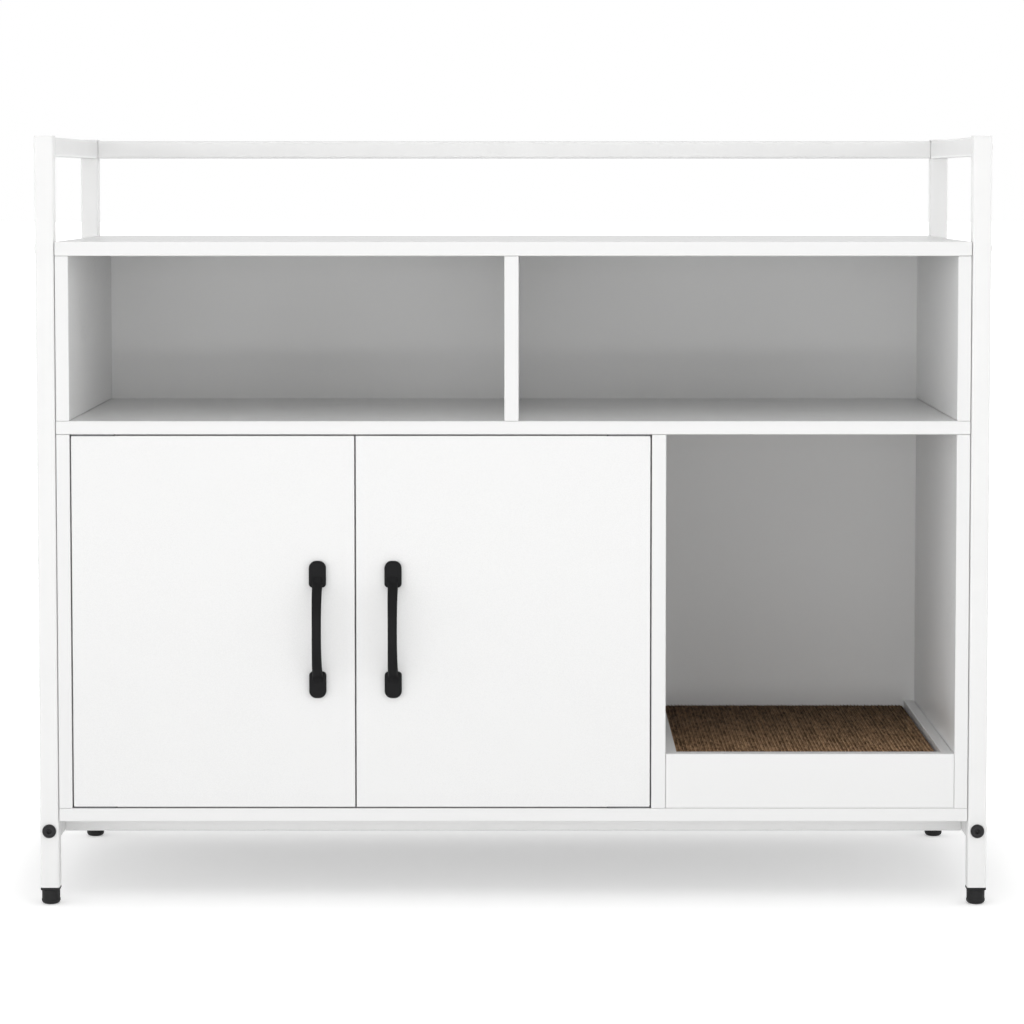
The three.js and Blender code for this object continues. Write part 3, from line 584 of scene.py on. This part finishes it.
def joint_fittings():
    """The cams in the uprights, and the screws of hinges, plates and handles."""
    disc = [(0, -0.5), (7.1, -0.5), (7.1, -0.25), (6.9, -0.1), (5.2, -0.08), (5.0, -0.2), (3.4, -0.2),
            (3.2, -0.1)]
    cam = screw_head("cam", disc, cross(2.6, 0.6), -0.1, -0.4, 48)
    places = []
    side_face, cam_depths = 0.4793, (0.062, 0.315)
    cam_levels = {"upper": (0.537, 0.662), "lower": (0.1273, 0.475)}
    for depth in cam_depths:
        y = FRONT + depth
        for way in (-1, 1):
            places += [((way * side_face, y, z), (way, 0, 0)) for zs in cam_levels.values() for z in zs]
        for level, zs in cam_levels.items():
            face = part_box(f"{level}_divider")[0][0]
            places += [((face, y, z), (-1, 0, 0)) for z in zs]
    fittings("cam_discs", cam, places, bright_zinc)

    pan = [(0, -0.2), (4.0, -0.2), (4.0, 0.7), (3.8, 1.3), (3.3, 1.85), (2.6, 2.25), (2.3, 2.38)]
    pan_screw = screw_head("pan_screw", pan, cross(1.7, 0.42), 2.36, 1.2, 40)
    flat = [(0, -0.3), (2.5, -0.3), (2.5, 0.02), (2.35, 0.08), (1.9, 0.08)]
    flat_screw = screw_head("flat_screw", flat, cross(1.3, 0.32), 0.08, -0.25, 32)
    sides = (("left", 1), ("right", -1))
    door_back, hinge_depth = FRONT + 0.0153, FRONT + 0.0078
    for side, way in sides:
        body = f"{side}_door"
        x = middle(f"handle_{side}")[0]
        places = [((x, door_back, HANDLE_LEVEL * MM + end * 0.0585), (0, 1, 0)) for end in (-1, 1)]
        fittings(f"handle_screws_{side}", pan_screw, places, bright_zinc, body)
        places = []
        for end, up in (("top", 1), ("bottom", -1)):
            low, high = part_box(f"hinge_leaf_{end}_{side}")
            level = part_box(f"door_{side}")[1 if up > 0 else 0][2]
            edge = low[0] if way > 0 else high[0]
            places += [((edge + way * along, hinge_depth, level), (0, 0, up)) for along in (0.017, 0.036)]
        strike = middle(f"strike_plate_{side}")
        places.append(((strike[0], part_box(f"strike_plate_{side}")[1][1], strike[2]), (0, 1, 0)))
        fittings(f"hinge_screws_{side}", flat_screw, places, bright_zinc, body)
    places = []
    for end, up in (("top", -1), ("bottom", 1)):
        for side, way in sides:
            low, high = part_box(f"hinge_plate_{end}_{side}")
            edge = low[0] if way > 0 else high[0]
            level = low[2] if up < 0 else high[2]
            places += [((edge + way * along, hinge_depth, level), (0, 0, up)) for along in (0.0185, 0.0375)]
    fittings("hinge_plate_screws", flat_screw, places, bright_zinc)


# ---------------------------------------------------------------- handles
def handle_mesh(name, x, z):
    """The bow is swept along a curve and thins to its middle; the pads at its ends are rounded tongues."""
    length, pad_width, pad_height, pad_thickness, projection = 145, 18, 28, 5, 27.8
    end_width, mid_width, thickness = 11.4, 9.8, 5.6
    reach = projection - thickness / 2
    foot = length / 2 - pad_height * 0.62
    half = [(foot, 3.4), (foot - 6, 6), (foot - 13, 13), (foot - 22, 19.5), (foot - 38, reach - 0.8)]
    route = [(-a, b) for a, b in half] + [(0, reach)] + list(reversed(half))
    path = [Vector((0, -b, a)) for a, b in route]

    def on_path(t):
        s = min(t * (len(path) - 1), len(path) - 1 - 1e-9)
        i = int(s)
        p = [path[max(0, min(len(path) - 1, i + k))] for k in (-1, 0, 1, 2)]
        u = s - i
        return 0.5 * (2 * p[1] + (p[2] - p[0]) * u + (2 * p[0] - 5 * p[1] + 4 * p[2] - p[3]) * u ** 2
                      + (3 * p[1] - p[0] - 3 * p[2] + p[3]) * u ** 3)

    def squared(v):
        """Flattens a circle's sides a little."""
        return (1 if v >= 0 else -1) * abs(v) ** 0.75

    bm = bmesh.new()
    stations, points = 72, 28
    rings = []
    for i in range(stations + 1):
        t = i / stations
        centre = on_path(t)
        along = (on_path(min(1, t + 0.004)) - on_path(max(0, t - 0.004))).normalized()
        out = Vector((0, -along.z, along.y))
        width = (mid_width + (end_width - mid_width) * (centre.z / foot) ** 2) / 2
        ring = []
        for k in range(points):
            a = 2 * pi * k / points
            at = centre + out * squared(sin(a)) * thickness / 2
            corner = (at.x + squared(cos(a)) * width + x) * MM, at.y * MM + FRONT, (at.z + z) * MM
            ring.append(bm.verts.new(corner))
        rings.append(ring)
    for low, high in zip(rings, rings[1:]):
        for k in range(points):
            n = (k + 1) % points
            bm.faces.new([low[k], low[n], high[n], high[k]])
    bm.faces.new(rings[0])
    bm.faces.new(rings[-1])

    w, h = pad_width / 2, pad_height / 2
    for way in (-1, 1):
        centre_z = z + way * (length / 2 - h)
        for_end, for_in = w * 0.85, w * 0.45
        corners = [(1, 1, for_end), (-1, 1, for_end), (-1, -1, for_in), (1, -1, for_in)]
        levels = [(-0.3, 0), (-0.3 - pad_thickness + 1.6, 0), (-0.3 - pad_thickness + 0.75, 0.25),
                  (-0.3 - pad_thickness + 0.2, 0.8), (-0.3 - pad_thickness, 1.7)]
        loops = []
        for y, inset in levels:
            loop = []
            for sx, sz, radius in corners:
                r = max(radius - inset, 0.4)
                cx, cz = sx * (w - inset - r), sz * (h - inset - r)
                first = {(1, 1): 0, (-1, 1): pi / 2, (-1, -1): pi, (1, -1): 1.5 * pi}[(sx, sz)]
                for k in range(9):
                    a = first + (pi / 2) * k / 8
                    loop.append(bm.verts.new(((x + cx + r * cos(a)) * MM, FRONT + y * MM,
                                              (centre_z + way * (cz + r * sin(a))) * MM)))
            loops.append(loop)
        count = len(loops[0])
        for low, high in zip(loops, loops[1:]):
            for k in range(count):
                n = (k + 1) % count
                bm.faces.new([low[k], low[n], high[n], high[k]])
        bm.faces.new(loops[0])
        bm.faces.new(loops[-1])
    return mesh_from(name, bm)


def handles():
    for side in ("left", "right"):
        name = f"handle_{side}"
        at = middle(name)
        mesh = handle_mesh(name, at[0] / MM, HANDLE_LEVEL)
        piece(f"pull_handle_{side}", mesh, black_steel, f"{side}_door", 40, (name,))


# ---------------------------------------------------------------- scratch pad
def pad_tree():
    """Sheets of corrugated card stood side by side: a flat liner, then a wave, across the pad."""
    drop, jitter, seed = -0.0009, ((-0.00012, 0.0, -0.0004), (0.00012, 0.0, 0.0)), 7
    tree = bpy.data.node_groups.new("corrugated_sheets", "GeometryNodeTree")
    face = tree.interface
    for name in ("Length", "Pitch", "Wave Length", "Wave Width", "Depth", "Paper"):
        face.new_socket(name, in_out="INPUT", socket_type="NodeSocketFloat")
    face.new_socket("Sheets", in_out="INPUT", socket_type="NodeSocketInt")
    face.new_socket("Steps", in_out="INPUT", socket_type="NodeSocketInt")
    face.new_socket("Finish", in_out="INPUT", socket_type="NodeSocketMaterial")
    face.new_socket("Card", in_out="OUTPUT", socket_type="NodeSocketGeometry")
    new, link = tree.nodes.new, tree.links.new
    start, end = new("NodeGroupInput"), new("NodeGroupOutput")

    def maths(operation, a, b=None):
        node = new("ShaderNodeMath")
        node.operation = operation
        for place, item in enumerate((a, b)):
            if item is None:
                continue
            if isinstance(item, (int, float)):
                node.inputs[place].default_value = item
            else:
                link(item, node.inputs[place])
        return node.outputs[0]

    line = new("GeometryNodeMeshLine")
    line.mode = "OFFSET"
    link(start.outputs["Steps"], line.inputs["Count"])
    step = maths("DIVIDE", start.outputs["Length"], maths("SUBTRACT", start.outputs["Steps"], 1))
    offset = new("ShaderNodeCombineXYZ")
    link(step, offset.inputs["Y"])
    link(offset.outputs[0], line.inputs["Offset"])
    reach = new("ShaderNodeCombineXYZ")
    link(start.outputs["Length"], reach.inputs["Y"])
    straight = new("GeometryNodeMeshLine")
    straight.mode = "OFFSET"
    straight.inputs["Count"].default_value = 2
    link(reach.outputs[0], straight.inputs["Offset"])
    place = new("GeometryNodeInputPosition")
    axes = new("ShaderNodeSeparateXYZ")
    link(place.outputs[0], axes.inputs[0])
    turns = maths("MULTIPLY", maths("DIVIDE", axes.outputs["Y"], start.outputs["Wave Length"]), 2 * pi)
    swing = maths("MULTIPLY", maths("SINE", turns), maths("MULTIPLY", start.outputs["Wave Width"], 0.5))

    def sheet(waved):
        geometry = line.outputs[0] if waved else straight.outputs[0]
        if waved:
            shift = new("ShaderNodeCombineXYZ")
            link(swing, shift.inputs["X"])
            moved = new("GeometryNodeSetPosition")
            link(geometry, moved.inputs["Geometry"])
            link(shift.outputs[0], moved.inputs["Offset"])
            geometry = moved.outputs[0]
        up = new("ShaderNodeCombineXYZ")
        link(start.outputs["Depth"], up.inputs["Z"])
        across = new("ShaderNodeCombineXYZ")
        link(start.outputs["Paper"], across.inputs["X"])
        wall = new("GeometryNodeExtrudeMesh")
        wall.mode = "EDGES"
        link(geometry, wall.inputs["Mesh"])
        link(up.outputs[0], wall.inputs["Offset"])
        wall.inputs["Offset Scale"].default_value = 1
        thick = new("GeometryNodeExtrudeMesh")
        thick.mode = "FACES"
        link(wall.outputs["Mesh"], thick.inputs["Mesh"])
        link(across.outputs[0], thick.inputs["Offset"])
        thick.inputs["Offset Scale"].default_value = 1
        thick.inputs["Individual"].default_value = False
        both = new("GeometryNodeJoinGeometry")
        back = new("GeometryNodeFlipFaces")
        link(wall.outputs["Mesh"], back.inputs["Mesh"])
        link(back.outputs["Mesh"], both.inputs[0])
        link(thick.outputs["Mesh"], both.inputs[0])
        merged = new("GeometryNodeMergeByDistance")
        merged.inputs["Distance"].default_value = 1e-6
        link(both.outputs[0], merged.inputs["Geometry"])
        return merged.outputs[0]

    waved, flat = sheet(True), sheet(False)
    moved = new("GeometryNodeTransform")
    half = new("ShaderNodeCombineXYZ")
    link(maths("MULTIPLY", start.outputs["Pitch"], 0.5), half.inputs["X"])
    half.inputs["Z"].default_value = drop
    link(waved, moved.inputs["Geometry"])
    link(half.outputs[0], moved.inputs["Translation"])
    pair = new("GeometryNodeJoinGeometry")
    link(moved.outputs[0], pair.inputs[0])
    link(flat, pair.inputs[0])

    rows = new("GeometryNodeMeshLine")
    rows.mode = "OFFSET"
    link(start.outputs["Sheets"], rows.inputs["Count"])
    pitch = new("ShaderNodeCombineXYZ")
    link(start.outputs["Pitch"], pitch.inputs["X"])
    link(pitch.outputs[0], rows.inputs["Offset"])
    copies = new("GeometryNodeInstanceOnPoints")
    link(rows.outputs[0], copies.inputs["Points"])
    link(pair.outputs[0], copies.inputs["Instance"])
    shuffle = new("FunctionNodeRandomValue")
    shuffle.data_type = "FLOAT_VECTOR"
    shuffle.inputs["Seed"].default_value = seed
    shuffle.inputs[0].default_value, shuffle.inputs[1].default_value = jitter
    nudged = new("GeometryNodeTranslateInstances")
    link(copies.outputs[0], nudged.inputs["Instances"])
    link(shuffle.outputs[0], nudged.inputs["Translation"])
    real, paint = new("GeometryNodeRealizeInstances"), new("GeometryNodeSetMaterial")
    link(nudged.outputs[0], real.inputs["Geometry"])
    link(real.outputs[0], paint.inputs["Geometry"])
    link(start.outputs["Finish"], paint.inputs["Material"])
    link(paint.outputs[0], end.inputs[0])
    return tree


def scratch_pad():
    """A block of cut card, with its upper sheets stood on it."""
    low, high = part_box("scratch_pad")
    depth = 7 * MM
    bm = bmesh.new()
    bmesh.ops.create_cube(bm, size=1)
    size = (high[0] - low[0], high[1] - low[1], high[2] - low[2] - depth)
    bmesh.ops.scale(bm, vec=size, verts=bm.verts)
    centre = middle("scratch_pad")
    bmesh.ops.translate(bm, verts=bm.verts, vec=(centre[0], centre[1], low[2] + size[2] / 2))
    core = mesh_from("pad_core", bm)
    piece("pad_core", core, card_edge, "scratch_pad", replaces=("scratch_pad",))

    wave, paper, spacing = 7.2 * MM, 0.6 * MM, 4 * MM
    sheets = round((high[0] - low[0] - paper) / spacing)
    pitch = (high[0] - low[0] - paper) / sheets
    count = round((high[1] - low[1]) / wave * 6) + 1
    seed = bpy.data.meshes.new("pad_seed")
    seed.from_pydata([(0, 0, 0)], [], [])
    holder = bpy.data.objects.new("pad_holder", seed)
    bpy.context.scene.collection.objects.link(holder)
    swing = {"Wave Length": wave, "Wave Width": pitch - 2.2 * paper}
    mesh = run_tree(holder, pad_tree(), Length=high[1] - low[1], Pitch=pitch, Sheets=sheets, Steps=count,
                    Depth=depth, Paper=paper, Finish=card_face, **swing)
    bpy.data.objects.remove(holder)
    mesh.transform(Matrix.Translation((low[0], low[1], high[2] - depth)))
    mesh.name = "pad_sheets"
    piece("pad_sheets", mesh, card_face, "scratch_pad")


# ---------------------------------------------------------------- making
photo_camera()
studio()
dress_nodes()
bolts()
hole_plugs()
feet()
joint_fittings()
handles()
scratch_pad()
